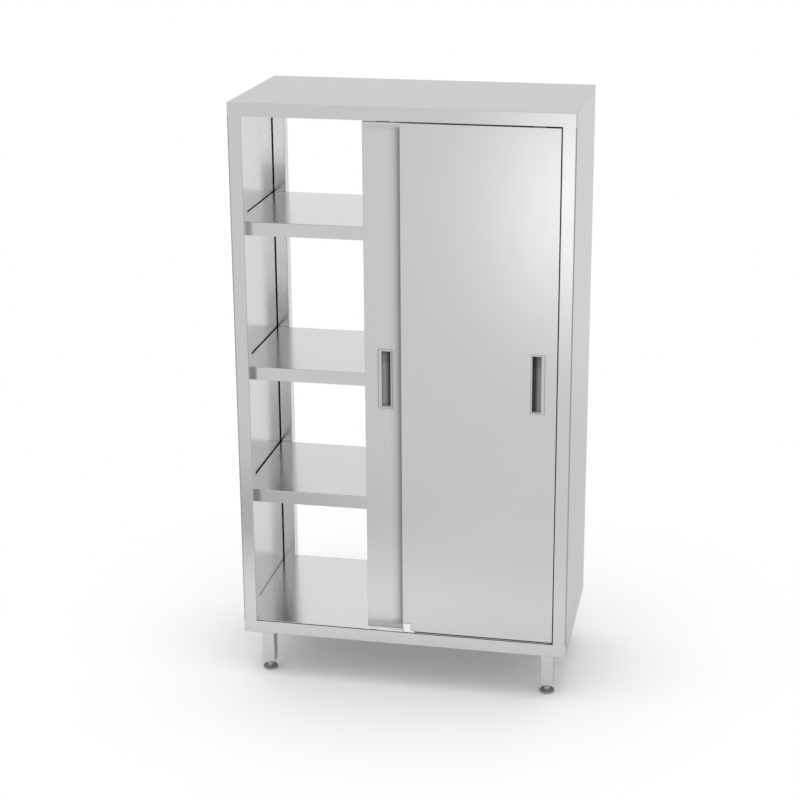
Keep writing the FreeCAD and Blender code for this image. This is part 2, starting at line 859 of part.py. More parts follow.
# the stops meet the end rollers of each door at the ends of its travel
stop_length = size("stop_length")
stop_reach = size("roller_radius") + size("rolling_gap")
last_axle = opening_end - size("hanger_inset")
outer_first_axle = outer_left + size("hanger_inset") - size("outer_door_travel")
stops = [
    track_stop("outer_right_stop", last_axle + stop_reach, OUTER_LANE),
    track_stop("outer_left_stop", outer_first_axle - stop_reach - stop_length, OUTER_LANE),
    track_stop("inner_right_stop", last_axle + stop_reach, INNER_LANE),
    track_stop("inner_left_stop", -last_axle - stop_reach - stop_length, INNER_LANE),
]
keep_front_and_rear(grouped("front_track_stops", stops))
keep_front_and_rear(track("front_track"))
keep_front_and_rear(floor_guide("front_floor_guide", outer_left + size("guide_inset")))

# ---------------------------------------------------------------- check and write

DOCUMENT.recompute()
for item in DOCUMENT.Objects:
    if "Invalid" in item.State or "Error" in item.State:
        raise RuntimeError(f"{item.Label}: {item.State}")
for name, piece in PARTS.items():
    if piece.Shape.isNull() or not piece.Shape.isValid():
        raise RuntimeError(f"{name}: no valid shape")

os.makedirs("parts", exist_ok=True)
for name, piece in PARTS.items():
    piece.Shape.exportStep(f"parts/{name}.step")
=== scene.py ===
import math

import bpy
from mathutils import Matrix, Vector


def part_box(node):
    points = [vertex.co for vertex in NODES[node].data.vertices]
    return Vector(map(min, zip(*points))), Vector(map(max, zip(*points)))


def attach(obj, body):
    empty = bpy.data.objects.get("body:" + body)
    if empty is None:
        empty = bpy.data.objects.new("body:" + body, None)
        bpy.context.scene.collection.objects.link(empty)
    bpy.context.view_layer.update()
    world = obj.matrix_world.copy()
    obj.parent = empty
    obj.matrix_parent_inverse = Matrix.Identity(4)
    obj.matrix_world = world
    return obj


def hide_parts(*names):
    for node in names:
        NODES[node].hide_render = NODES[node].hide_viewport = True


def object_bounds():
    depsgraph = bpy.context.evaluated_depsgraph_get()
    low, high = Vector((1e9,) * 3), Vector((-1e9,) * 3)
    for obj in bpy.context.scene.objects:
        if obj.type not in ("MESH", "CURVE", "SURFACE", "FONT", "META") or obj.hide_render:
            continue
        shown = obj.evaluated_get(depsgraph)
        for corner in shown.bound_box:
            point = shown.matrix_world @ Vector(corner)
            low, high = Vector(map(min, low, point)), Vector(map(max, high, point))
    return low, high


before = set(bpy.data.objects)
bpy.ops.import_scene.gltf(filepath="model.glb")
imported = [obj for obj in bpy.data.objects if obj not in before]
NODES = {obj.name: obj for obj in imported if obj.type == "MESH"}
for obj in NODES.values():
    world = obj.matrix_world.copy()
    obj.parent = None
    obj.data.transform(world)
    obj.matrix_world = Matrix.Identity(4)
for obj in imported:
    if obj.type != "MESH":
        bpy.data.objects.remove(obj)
cad_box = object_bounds()

SCENE = bpy.context.scene
MM = 0.001
# half of the cabinet's width and depth, whose middle is at the origin
HALF_X = cad_box[1][0]
HALF_Y = cad_box[1][1]

# ---------------------------------------------------------------- material helpers

WHITE = (1.0, 1.0, 1.0)
BLACK = (0.0, 0.0, 0.0)
# sockets of the Mix node for colours, whose names it also gives to its sockets for numbers
MIX_FACTOR = 0
MIX_FIRST = 6
MIX_SECOND = 7
MIX_RESULT = 2
# most values of a noise lie between these two
NOISE_LOW = 0.3
NOISE_HIGH = 0.7


class Graph:
    """A material's node tree with short calls for the nodes that the finishes share."""

    def __init__(self, name):
        self.material = bpy.data.materials.new(name)
        self.material.use_nodes = True
        self.tree = self.material.node_tree
        self.shader = self.tree.nodes["Principled BSDF"]
        self.coordinates = self.node("ShaderNodeTexCoord")
        self.place = self.coordinates.outputs["Object"]

    def node(self, kind, **settings):
        made = self.tree.nodes.new(kind)
        for key, value in settings.items():
            setattr(made, key, value)
        return made

    def link(self, start, end):
        self.tree.links.new(start, end)

    def feed(self, socket, value):
        """Give a socket a number, a colour or another node's output."""
        if isinstance(value, tuple):
            socket.default_value = (*value, 1.0)
        elif isinstance(value, (int, float)):
            socket.default_value = value
        else:
            self.link(value, socket)

    def stretched_place(self, stretch):
        """Object coordinates multiplied by three factors."""
        mapping = self.node("ShaderNodeMapping")
        mapping.inputs["Scale"].default_value = stretch
        self.link(self.place, mapping.inputs["Vector"])
        return mapping.outputs["Vector"]

    def component(self, vector, name):
        """One of a vector's three numbers."""
        split = self.node("ShaderNodeSeparateXYZ")
        self.link(vector, split.inputs["Vector"])
        return split.outputs[name]

    def axis(self, name):
        """One object coordinate, in metres."""
        return self.component(self.place, name)

    def off_centre(self, name):
        """Distance along one axis from the cabinet's middle, in metres."""
        return self.math("ABSOLUTE", self.axis(name))

    def facing(self, name):
        """How far the surface faces along one axis, -1 to 1."""
        return self.component(self.coordinates.outputs["Normal"], name)

    def facing_either_way(self, name):
        """How far the surface faces forwards or backwards along one axis, 0 to 1."""
        return self.math("ABSOLUTE", self.facing(name))

    def noise(self, scale, stretch=(1, 1, 1), detail=2.0, roughness=0.5):
        """Noise value, 0 to 1; scale is in waves per metre."""
        noise = self.node("ShaderNodeTexNoise")
        noise.inputs["Scale"].default_value = scale
        noise.inputs["Detail"].default_value = detail
        noise.inputs["Roughness"].default_value = roughness
        self.link(self.stretched_place(stretch), noise.inputs["Vector"])
        return noise.outputs["Fac"]

    def spread(self, value, low, high, low_in=NOISE_LOW, high_in=NOISE_HIGH, smooth=False):
        """Value mapped from one range to another; it stays inside the new range."""
        kind = "SMOOTHSTEP" if smooth else "LINEAR"
        mapped = self.node("ShaderNodeMapRange", clamp=True, interpolation_type=kind)
        self.link(value, mapped.inputs["Value"])
        ranges = {"From Min": low_in, "From Max": high_in, "To Min": low, "To Max": high}
        for key, number in ranges.items():
            mapped.inputs[key].default_value = number
        return mapped.outputs["Result"]

    def rise(self, value, start, full):
        """0 below the start, 1 above the full value, a straight slope between them."""
        return self.spread(value, 0.0, 1.0, start, full)

    def fall(self, value, full, end):
        """1 below the full value, 0 above the end, a straight slope between them."""
        return self.spread(value, 1.0, 0.0, full, end)

    def math(self, operation, first, second=0.0):
        made = self.node("ShaderNodeMath", operation=operation)
        self.feed(made.inputs[0], first)
        self.feed(made.inputs[1], second)
        return made.outputs["Value"]

    def product(self, first, *others):
        for other in others:
            first = self.math("MULTIPLY", first, other)
        return first

    def mix(self, factor, first, second):
        """Colour between two colours or colour outputs."""
        made = self.node("ShaderNodeMix", data_type="RGBA")
        self.feed(made.inputs[MIX_FACTOR], factor)
        self.feed(made.inputs[MIX_FIRST], first)
        self.feed(made.inputs[MIX_SECOND], second)
        return made.outputs[MIX_RESULT]

    def bump(self, height, strength, distance, under=None):
        """Normal of a relief; the distance is its height in metres."""
        made = self.node("ShaderNodeBump")
        made.inputs["Strength"].default_value = strength
        made.inputs["Distance"].default_value = distance
        self.link(height, made.inputs["Height"])
        if under is not None:
            self.link(under, made.inputs["Normal"])
        return made.outputs["Normal"]

    def wire(self, socket, value):
        """Give one of the Principled shader's sockets a value."""
        self.feed(self.shader.inputs[socket], value)

    def show(self, shader):
        """Use another shader than the Principled one for the surface."""
        self.link(shader, self.tree.nodes["Material Output"].inputs["Surface"])


def toned(colour, factor):
    """A colour made darker or brighter."""
    return tuple(min(1.0, part * factor) for part in colour)


# ---------------------------------------------------------------- zones of tone
#
# A zone function takes a finish's colour output and its plain tone, and gives the colour output
# that differs at some places of the piece; most zones paint light or shade there, and only the
# cabinet floor's wear plates are a real material. Places and depths are object coordinates in metres.
# A pair is the two values between which a zone comes in or goes out; facings are 0 to 1.

# the side panels are painted brighter inside, on their webs and on the flanges of their posts: painted
# light
INSIDE_HALF_X = 0.4993
INSIDE_PAINTED_LIGHT = 1.34
FLANGE_HALF_Y = 0.2107
FLANGE_PAINTED_LIGHT = 1.24
PANEL_FACING = (0.6, 0.9)
# their bent corners are painted darker: painted shade, for the thin dark lines along the rounded corners
BEND_START = 0.0048
BEND_FULL = 0.0028
BEND_PAINTED_SHADE = 0.64
# the cabinet's top is painted a little brighter than the rails folded down from it: painted light on the
# upper side
ROOF_FACING = (0.9, 1.0)
ROOF_PAINTED_LIGHT = 1.07
# shelf tops are painted brighter than their folded edges (painted light on the upper side), and the ends
# of those edges are painted darker (painted shade next to the posts)
SHELF_FACING = (0.5, 0.9)
SHELF_TOP_PAINTED_LIGHT = 1.11
END_X = (0.443, 0.453)
EDGE_END_PAINTED_SHADE = 0.56


def carcass_zones(g, colour, tone):
    """Side panels: painted light on the inner faces and painted shade on the bent corners."""
    within = g.math("LESS_THAN", g.off_centre("X"), INSIDE_HALF_X)
    web = g.product(within, g.rise(g.facing_either_way("X"), *PANEL_FACING))
    colour = g.mix(web, colour, toned(tone, INSIDE_PAINTED_LIGHT))
    behind_posts = g.math("LESS_THAN", g.off_centre("Y"), FLANGE_HALF_Y)
    flange = g.product(behind_posts, g.rise(g.facing_either_way("Y"), *PANEL_FACING))
    colour = g.mix(flange, colour, toned(tone, FLANGE_PAINTED_LIGHT))
    bend_across = g.rise(g.off_centre("X"), HALF_X - BEND_START, HALF_X - BEND_FULL)
    bend_deep = g.rise(g.off_centre("Y"), HALF_Y - BEND_START, HALF_Y - BEND_FULL)
    return g.mix(g.product(bend_across, bend_deep), colour, toned(tone, BEND_PAINTED_SHADE))


def rail_zones(g, colour, tone):
    """Top and bottom panels: painted light on the upper side."""
    return g.mix(g.rise(g.facing("Z"), *ROOF_FACING), colour, toned(tone, ROOF_PAINTED_LIGHT))


def shelf_zones(g, colour, tone):
    """Shelves: painted light on the tops, and painted shade at the ends of the folded front and rear
    edges.
    """
    folded_edge = g.rise(g.facing_either_way("Y"), *SHELF_FACING)
    end = g.product(g.rise(g.off_centre("X"), *END_X), folded_edge)
    colour = g.mix(end, colour, toned(tone, EDGE_END_PAINTED_SHADE))
    return g.mix(g.rise(g.facing("Z"), *SHELF_FACING), colour, toned(tone, SHELF_TOP_PAINTED_LIGHT))


# nylon wear plates are let into the cabinet floor where the inner doors run
PLATE_FROM_Y = 0.2085
PLATE_FROM_X = -0.116
PLATE_TO_X = 0.0
PLATE_TONE = (0.92, 0.92, 0.92)


def floor_zones(g, colour, tone):
    """Cabinet floor: painted light on its top, with nylon wear plates let into it."""
    plate = g.product(
        g.math("GREATER_THAN", g.off_centre("Y"), PLATE_FROM_Y),
        g.math("GREATER_THAN", g.axis("X"), PLATE_FROM_X),
        g.math("LESS_THAN", g.axis("X"), PLATE_TO_X),
    )
    g.wire("Metallic", g.math("SUBTRACT", 1.0, plate))
    return g.mix(plate, shelf_zones(g, colour, tone), PLATE_TONE)


# a handle further out than this is an outer door's; its face is a step further out than an
# inner door's, and the upper end of its recess is higher
OUTER_LANE_FROM = 0.231
INNER_LANE_FACE = 0.2275
LANE_STEP = 0.0175
INNER_RECESS_TOP = 1.0775
OUTER_RECESS_RISE = 0.015
# the recess is painted darker towards its floor, and darker again in the trough that its floor slopes to:
# painted shade
FLOOR_DEPTH = (0.0022, 0.0058)
FLOOR_SHADE = 0.46
TROUGH_DEPTH = (0.0083, 0.0114)
TROUGH_SHADE = 0.17
# its sunk parts get painted shade from its upper end: two shades, by the distance below that end
SUNK_DEPTH = (0.003, 0.0055)
NEAR_TOP = (0.0, 0.014)
NEAR_TOP_SHADE = 0.42
UNDER_TOP = (0.034, 0.041)
UNDER_TOP_SHADE = 0.72
# its lower wall looks up and gets painted light; the flanks of the bevelled rim get painted shade
WALL_FACING = (0.15, 0.4)
WALL_DEPTH = (0.0002, 0.0012)
LOWER_WALL_PAINTED_LIGHT = 1.7
FLANK_FACING = (0.6, 0.95)
FLANK_DEPTH = (0.0, 0.0008)
FLANK_PAINTED_SHADE = (0.62, 0.62, 0.62)


def recess_zones(g, colour, tone):
    """Handle: painted shade on the flanks and in the recess (a dark floor, a black trough, a shaded upper
    end), and painted light on the recess's lower wall.
    """
    out = g.off_centre("Y")
    outer = g.math("GREATER_THAN", out, OUTER_LANE_FROM)
    face = g.math("ADD", g.product(outer, LANE_STEP), INNER_LANE_FACE)
    depth = g.math("SUBTRACT", face, out)
    top = g.math("ADD", g.product(outer, OUTER_RECESS_RISE), INNER_RECESS_TOP)
    below = g.math("SUBTRACT", top, g.axis("Z"))
    floor_shade = g.spread(depth, 1.0, FLOOR_SHADE, *FLOOR_DEPTH)
    trough_shade = g.spread(depth, 1.0, TROUGH_SHADE, *TROUGH_DEPTH)
    under_top = g.spread(below, UNDER_TOP_SHADE, 1.0, *UNDER_TOP, smooth=True)
    near_top = g.spread(below, NEAR_TOP_SHADE, 1.0, *NEAR_TOP)
    lid_shade = g.mix(g.rise(depth, *SUNK_DEPTH), WHITE, g.product(under_top, near_top))
    shade = g.product(floor_shade, trough_shade, lid_shade)
    upright = g.fall(g.facing_either_way("Y"), *FLANK_FACING)
    flank = g.product(upright, g.fall(depth, *FLANK_DEPTH))
    shaded = g.mix(g.mix(flank, shade, FLANK_PAINTED_SHADE), BLACK, colour)
    lower_wall = g.product(g.rise(g.facing("Z"), *WALL_FACING), g.rise(depth, *WALL_DEPTH))
    return g.mix(lower_wall, shaded, toned(tone, LOWER_WALL_PAINTED_LIGHT))


# an inner door gets painted shade, from ambient occlusion, near the outer door that stands in front of it,
# except at its two ends
INNER_LANE_HALF_Y = 0.229
CONTACT_REACH = 0.040
CONTACT_SHADE = 0.38
CONTACT_OPENNESS = (0.72, 0.97)
CONTACT_SAMPLES = 16
CONTACT_LOW_Z = (0.196, 0.208)
CONTACT_HIGH_Z = (1.733, 1.749)


def contact_zones(g, colour, tone):
    """Inner doors: painted shade within a few centimetres of the door that stands in front of them."""
    hidden = g.node("ShaderNodeAmbientOcclusion", samples=CONTACT_SAMPLES)
    hidden.inputs["Distance"].default_value = CONTACT_REACH
    shade = g.product(
        g.spread(hidden.outputs["AO"], 1.0 - CONTACT_SHADE, 0.0, *CONTACT_OPENNESS),
        g.rise(g.axis("Z"), *CONTACT_LOW_Z),
        g.fall(g.axis("Z"), *CONTACT_HIGH_Z),
        g.math("LESS_THAN", g.off_centre("Y"), INNER_LANE_HALF_Y),
    )
    return g.mix(shade, colour, BLACK)


# a foot is painted darker on top than on its side: painted shade under the leg
FOOT_FACING = (0.3, 0.9)
FOOT_TOP_PAINTED_SHADE = 0.55


def foot_zones(g, colour, tone):
    """Foot: painted shade on its upper side."""
    return g.mix(g.rise(g.facing("Z"), *FOOT_FACING), colour, toned(tone, FOOT_TOP_PAINTED_SHADE))


# ---------------------------------------------------------------- finishes
#
# Waves are per metre. A bump is its strength and its height in metres. Pairs of tones or of
# roughnesses are factors, for the low and the high end of the noise that varies them. The
# roughness of streaks and of hand marks is added instead.

GRAIN_STRETCH = 0.012
GRAIN_ALONG = {
    "X": (GRAIN_STRETCH, 1, 1),
    "Y": (1, GRAIN_STRETCH, 1),
    "Z": (1, 1, GRAIN_STRETCH),
}
GRAIN_WAVES = 2600.0
GRAIN_TONES = (0.988, 1.012)
GRAIN_ROUGHNESS = (0.95, 1.05)
GRAIN_BUMP = (0.03, 0.00002)
STREAK_WAVES = 340.0
STREAK_ROUGHNESS = (-0.006, 0.006)
CLOUD_WAVES = 5.0
CLOUD_TONE = 0.98
CLOUD_SHARE = 0.3
MARK_WAVES = 17.0
MARK_STRETCH = (1, 1, 0.45)
MARK_RANGE = (0.5, 0.75)
MARK_ROUGHNESS = 0.03
UNEVEN_WAVES = 3.2
UNEVEN_BUMP = (0.2, 0.001)
# tint of the reflections at a glancing angle
EDGE_TINT = 0.82


def stainless(name, tone, roughness, grain, edge=EDGE_TINT, anisotropy=0.0, metallic=1.0, zones=None):
    """Satin stainless sheet: fine grain along one axis, faint hand marks, slightly uneven flatness."""
    g = Graph(name)
    fine = g.noise(GRAIN_WAVES, GRAIN_ALONG[grain], detail=3.0)
    streak = g.noise(STREAK_WAVES, GRAIN_ALONG[grain], detail=2.0)
    cloud = g.noise(CLOUD_WAVES, detail=3.0)
    mark = g.noise(MARK_WAVES, MARK_STRETCH, detail=4.0, roughness=0.62)
    dark, bright = (toned(tone, factor) for factor in GRAIN_TONES)
    grained = g.mix(g.spread(fine, 0.0, 1.0), dark, bright)
    colour = g.mix(g.spread(cloud, 0.0, CLOUD_SHARE), grained, toned(tone, CLOUD_TONE))
    g.wire("Metallic", metallic)
    if zones is not None:
        colour = zones(g, colour, tone)
    g.wire("Base Color", colour)
    smooth, rough = (roughness * factor for factor in GRAIN_ROUGHNESS)
    marked = g.math("ADD", g.spread(fine, smooth, rough), g.spread(mark, 0.0, MARK_ROUGHNESS, *MARK_RANGE))
    g.wire("Roughness", g.math("ADD", marked, g.spread(streak, *STREAK_ROUGHNESS)))
    g.wire("Specular Tint", (edge, edge, edge))
    if anisotropy > 0.0:
        g.wire("Anisotropic", anisotropy)
        tangent = g.node("ShaderNodeTangent", direction_type="RADIAL", axis="Z")
        g.wire("Tangent", tangent.outputs["Tangent"])
    uneven = g.bump(g.noise(UNEVEN_WAVES, detail=1.0), *UNEVEN_BUMP)
    g.wire("Normal", g.bump(fine, *GRAIN_BUMP, under=uneven))
    return g.material


CRYSTAL_WAVES = 900.0
CRYSTAL_RANGE = (0.0, 0.8)
CRYSTAL_TONES = (0.9, 1.08)
PLATING_WAVES = 120.0
PLATING_ROUGHNESS = (0.75, 1.3)
PLATING_BUMP_WAVES = 700.0
PLATING_BUMP = (0.15, 0.00005)


def plated(name, tone, roughness):
    """Zinc plating: a faint crystal mottle and a satin sheen."""
    g = Graph(name)
    crystals = g.node("ShaderNodeTexVoronoi")
    crystals.inputs["Scale"].default_value = CRYSTAL_WAVES
    g.link(g.place, crystals.inputs["Vector"])
    mottle = g.rise(crystals.outputs["Distance"], *CRYSTAL_RANGE)
    dark, bright = (toned(tone, factor) for factor in CRYSTAL_TONES)
    g.wire("Base Color", g.mix(mottle, dark, bright))
    smooth, rough = (roughness * factor for factor in PLATING_ROUGHNESS)
    g.wire("Roughness", g.spread(g.noise(PLATING_WAVES, detail=4.0), smooth, rough))
    g.wire("Metallic", 1.0)
    g.wire("Normal", g.bump(g.noise(PLATING_BUMP_WAVES, detail=3.0), *PLATING_BUMP))
    return g.material


DIE_WAVES = 900.0
DIE_STRETCH = (0.004, 1, 1)
DIE_TONE = 0.92
DIE_ROUGHNESS = (0.8, 1.25)
DIE_BUMP = (0.25, 0.00008)


def extruded(name, tone, roughness):
    """Mill-finish aluminium with die lines along X."""
    g = Graph(name)
    lines = g.noise(DIE_WAVES, DIE_STRETCH, detail=4.0, roughness=0.7)
    g.wire("Base Color", g.mix(g.spread(lines, 0.0, 1.0), toned(tone, DIE_TONE), tone))
    smooth, rough = (roughness * factor for factor in DIE_ROUGHNESS)
    g.wire("Roughness", g.spread(lines, smooth, rough))
    g.wire("Metallic", 1.0)
    g.wire("Normal", g.bump(lines, *DIE_BUMP))
    return g.material


MOULD_CLOUD_WAVES = 60.0
MOULD_ROUGHNESS = (0.88, 1.12)
MOULD_BUMP_STRENGTH = 0.4


def moulded(name, tone, roughness, grain_size, grain_height, fleck=0.06, zones=None):
    """Moulded plastic or rubber: fine spark-eroded grain and slightly uneven colour."""
    g = Graph(name)
    grain = g.noise(1.0 / grain_size, detail=2.0)
    cloud = g.noise(MOULD_CLOUD_WAVES, detail=3.0)
    colour = g.mix(g.spread(cloud, 0.0, 1.0), toned(tone, 1 - fleck), toned(tone, 1 + fleck))
    g.wire("Base Color", colour if zones is None else zones(g, colour, tone))
    smooth, rough = (roughness * factor for factor in MOULD_ROUGHNESS)
    g.wire("Roughness", g.spread(grain, smooth, rough))
    g.wire("Normal", g.bump(grain, MOULD_BUMP_STRENGTH, grain_height))
    return g.material


STEEL = (0.56, 0.56, 0.565)
# steel painted paler for the legs and the cabinet floor: painted light, for their brighter reflections
STEEL_WITH_PAINTED_LIGHT = (0.60, 0.60, 0.605)
GREY_STEEL = (0.50, 0.50, 0.505)
BACK_STEEL = (0.62, 0.62, 0.625)
BLACK_ZINC = (0.10, 0.10, 0.105)
ZINC = (0.78, 0.79, 0.80)
ALUMINIUM = (0.62, 0.62, 0.63)
WHITE_NYLON = (0.84, 0.84, 0.83)
ROLLER_NYLON = (0.74, 0.74, 0.71)
FOOT_PLASTIC = (0.27, 0.27, 0.273)
PLUG_PLASTIC = (0.04, 0.04, 0.041)
RUBBER = (0.022, 0.022, 0.023)

FINISHES = {
    "post": stainless("steel_posts", STEEL, roughness=0.20, grain="Z", zones=carcass_zones),
    "rail": stainless("steel_rails", STEEL, roughness=0.20, grain="X", zones=rail_zones),
    "shelf": stainless("steel_shelves", STEEL, roughness=0.18, grain="X", edge=1.0, zones=shelf_zones),
    "floor": stainless("steel_floor", STEEL_WITH_PAINTED_LIGHT, roughness=0.18, grain="X", edge=1.0, zones=floor_zones),
    "door": stainless(
        "steel_doors", STEEL, roughness=0.22, grain="Z", anisotropy=0.3, zones=contact_zones,
    ),
    "door_back": stainless("steel_door_backs", BACK_STEEL, roughness=0.34, grain="Z", metallic=0.25),
    "handle": stainless(
        "steel_handles", GREY_STEEL, roughness=0.34, grain="Z", metallic=0.5, zones=recess_zones,
    ),
    "leg": stainless("steel_legs", STEEL_WITH_PAINTED_LIGHT, roughness=0.20, grain="Z"),
    "bracket": stainless("steel_brackets", GREY_STEEL, roughness=0.25, grain="Y"),
    "hanger": plated("black_zinc_hangers", BLACK_ZINC, roughness=0.34),
    "zinc": plated("zinc_fittings", ZINC, roughness=0.36),
    "track": extruded("aluminium_track", ALUMINIUM, roughness=0.28),
    "nylon": moulded(
        "white_nylon", WHITE_NYLON, roughness=0.42, grain_size=0.0006, grain_height=0.00003,
    ),
    "tyre": moulded(
        "roller_nylon", ROLLER_NYLON, roughness=0.38, grain_size=0.0005, grain_height=0.00003,
    ),
    "foot": moulded(
        "foot_plastic", FOOT_PLASTIC, roughness=0.42, grain_size=0.0007, grain_height=0.00006,
        fleck=0.12, zones=foot_zones,
    ),
    "plug": moulded(
        "plug_plastic", PLUG_PLASTIC, roughness=0.5, grain_size=0.0007, grain_height=0.00006,
        fleck=0.15,
    ),
    "rubber": moulded(
        "stop_rubber", RUBBER, roughness=0.75, grain_size=0.0009, grain_height=0.0001, fleck=0.2,
    ),
}

# finish of each CAD node: the first line whose words are in the node's name
FINISH_OF = [
    ("side_panel", "post"),
    ("top_panel", "rail"),
    ("bottom_panel", "rail"),
    ("cabinet_floor", "floor"),
    ("_shelf", "shelf"),
    ("shelf_stiffeners", "shelf"),
    ("shelf_brackets", "bracket"),
    ("_door_skin", "door"),
    ("_door_back", "door_back"),
    ("_door_handle", "handle"),
    ("_door_hangers", "hanger"),
    ("_roller", "tyre"),
    ("_floor_guide", "nylon"),
    ("_track_stops", "rubber"),
    ("_track", "track"),
    ("leg_plates", "leg"),
    ("leg_plugs", "plug"),
    ("_leg", "leg"),
    ("_foot_stud", "zinc"),
    ("_foot_pad", "foot"),
]


def finish_for(name):
    for part, finish in FINISH_OF:
        if part in name:
            return finish
    raise ValueError(f"no finish for {name}")


def paint(obj, finish):
    obj.data.materials.clear()
    obj.data.materials.append(FINISHES[finish])


for node_name, node in NODES.items():
    paint(node, finish_for(node_name))

# ---------------------------------------------------------------- meshes

SHARP = math.radians(32)


def new_piece(name, points, faces, finish):
    """A mesh object, smooth except at its sharp edges."""
    mesh = bpy.data.meshes.new(name)
    mesh.from_pydata(points, [], faces)
    mesh.polygons.foreach_set("use_smooth", [True] * len(mesh.polygons))
    mesh.set_sharp_from_angle(angle=SHARP)
    made = bpy.data.objects.new(name, mesh)
    SCENE.collection.objects.link(made)
    paint(made, finish)
    return made


def upright(x, y, along):
    """Axes of a turned piece that stands on Z."""
    return x, y, along


def lying(x, y, along):
    """Axes of a turned piece that lies along Y."""
    return x, along, y


def point_around(centre, radius, angle, along, place=upright):
    """Point at a radius and an angle about an axis through the centre."""
    across = radius * math.cos(angle), radius * math.sin(angle)
    return Vector(centre) + Vector(place(*across, along))


def turned(centre, profile, segments, place, closed=False):
    """Points and faces of a profile of (radius, distance along the axis) pairs turned about the axis.

    A closed profile makes a ring; an open one starts and ends on the axis, with a single point there.
    """
    points = []
    rows = []
    for radius, along in profile:
        start = len(points)
        count = segments if radius > 0.0 else 1
        for step in range(count):
            points.append(point_around(centre, radius, math.tau * step / segments, along, place))
        rows.append([start + step % count for step in range(segments)])
    if closed:
        rows.append(rows[0])
    faces = []
    for row, following in zip(rows, rows[1:]):
        for step in range(segments):
            after = (step + 1) % segments
            loop = [row[step], row[after], following[after], following[step]]
            faces.append(tuple(dict.fromkeys(loop)))
    # the axes of a lying piece are left-handed, which turns its faces inside out
    if place is lying:
        faces = [face[::-1] for face in faces]
    return points, faces


def arc(centre_radius, centre_along, size, start, end, steps=5):
    """Points of a quarter round or less in a turned profile; angles in degrees from outwards."""
    found = []
    for step in range(steps + 1):
        angle = math.radians(start + (end - start) * step / steps)
        found.append((centre_radius + size * math.cos(angle), centre_along + size * math.sin(angle)))
    return found


def joined(*meshes):
    """Several lists of points and faces as one."""
    points = []
    faces = []
    for more_points, more_faces in meshes:
        start = len(points)
        points += more_points
        faces += [tuple(start + index for index in face) for face in more_faces]
    return points, faces


def axis_through(node):
    """Point on the ground below the middle of a node that stands on Z."""
    low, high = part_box(node)
    return ((low[0] + high[0]) / 2, (low[1] + high[1]) / 2, 0.0)


def middle_of(node):
    low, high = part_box(node)
    return [(a + b) / 2 for a, b in zip(low, high)]


# ---------------------------------------------------------------- camera

# solved from the cabinet's own straight edges in the photograph
CAMERA_PLACE = Vector((1.0124, -5.0850, 2.6481))
CAMERA_AZIMUTH = math.radians(10.446)
CAMERA_DIP = math.radians(16.774)
SENSOR_WIDTH = 36.0
FOCAL_LENGTH = 80.288
LENS_SHIFT = (-0.05189, -0.09077)

camera_data = bpy.data.cameras.new("camera")
camera = bpy.data.objects.new("camera", camera_data)
SCENE.collection.objects.link(camera)
forward = Vector((
    -math.sin(CAMERA_AZIMUTH) * math.cos(CAMERA_DIP),
    math.cos(CAMERA_AZIMUTH) * math.cos(CAMERA_DIP),
    -math.sin(CAMERA_DIP),
))
camera.location = CAMERA_PLACE
camera.rotation_mode = "QUATERNION"
camera.rotation_quaternion = forward.to_track_quat("-Z", "Y")
camera_data.sensor_width = SENSOR_WIDTH
camera_data.lens = FOCAL_LENGTH
camera_data.shift_x, camera_data.shift_y = LENS_SHIFT
SCENE.camera = camera

# ---------------------------------------------------------------- feet

DISC_SEGMENTS = 64
# rounding of the disc's lower and upper rim
DISC_HEEL = 0.8 * MM
DISC_CORNER = 2.6 * MM
DISC_HEEL_STEPS = 3
# the rim is lower than the seat, with a flat, a slope and a dish inside it
RIM_DROP = 1.6 * MM
RIM_FLAT = 1.2 * MM
RIM_SLOPE = 1.2 * MM
DISH_DEPTH = 1.2 * MM
# the seat's radius, its chamfer and how far its foot spreads
SEAT_RADIUS = 10.0 * MM
SEAT_CHAMFER = 0.4 * MM
SEAT_FOOT = 1.6 * MM


def foot_disc(name, body, node):
    """Moulded disc with a rounded rim, a shallow dish and a seat for the stud's collar."""
    low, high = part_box(node)
    rim = (high[0] - low[0]) / 2
    top = high[2]
    edge = top - RIM_DROP
    dish = edge - DISH_DEPTH
    flat = rim - DISC_CORNER - RIM_FLAT
    profile = [(0.0, 0.0)]
    profile += arc(rim - DISC_HEEL, DISC_HEEL, DISC_HEEL, -90, 0, DISC_HEEL_STEPS)
    profile += arc(rim - DISC_CORNER, edge - DISC_CORNER, DISC_CORNER, 0, 90)
    profile += [(flat, edge), (flat - RIM_SLOPE, dish), (SEAT_RADIUS + SEAT_FOOT, dish)]
    profile += [(SEAT_RADIUS + SEAT_CHAMFER, top - SEAT_CHAMFER), (SEAT_RADIUS, top), (0.0, top)]
    piece = new_piece(name, *turned(axis_through(node), profile, DISC_SEGMENTS, upright), "foot")
    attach(piece, body)
    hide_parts(node)


COLLAR_HEIGHT = 8.5 * MM
COLLAR_STEPS_PER_FLAT = 10
COLLAR_CHAMFER = math.radians(30)
# the flat ring on top of the collar is this much inside its flats
CROWN_INSET = 0.3 * MM
SIXTH_TURN = math.radians(60)


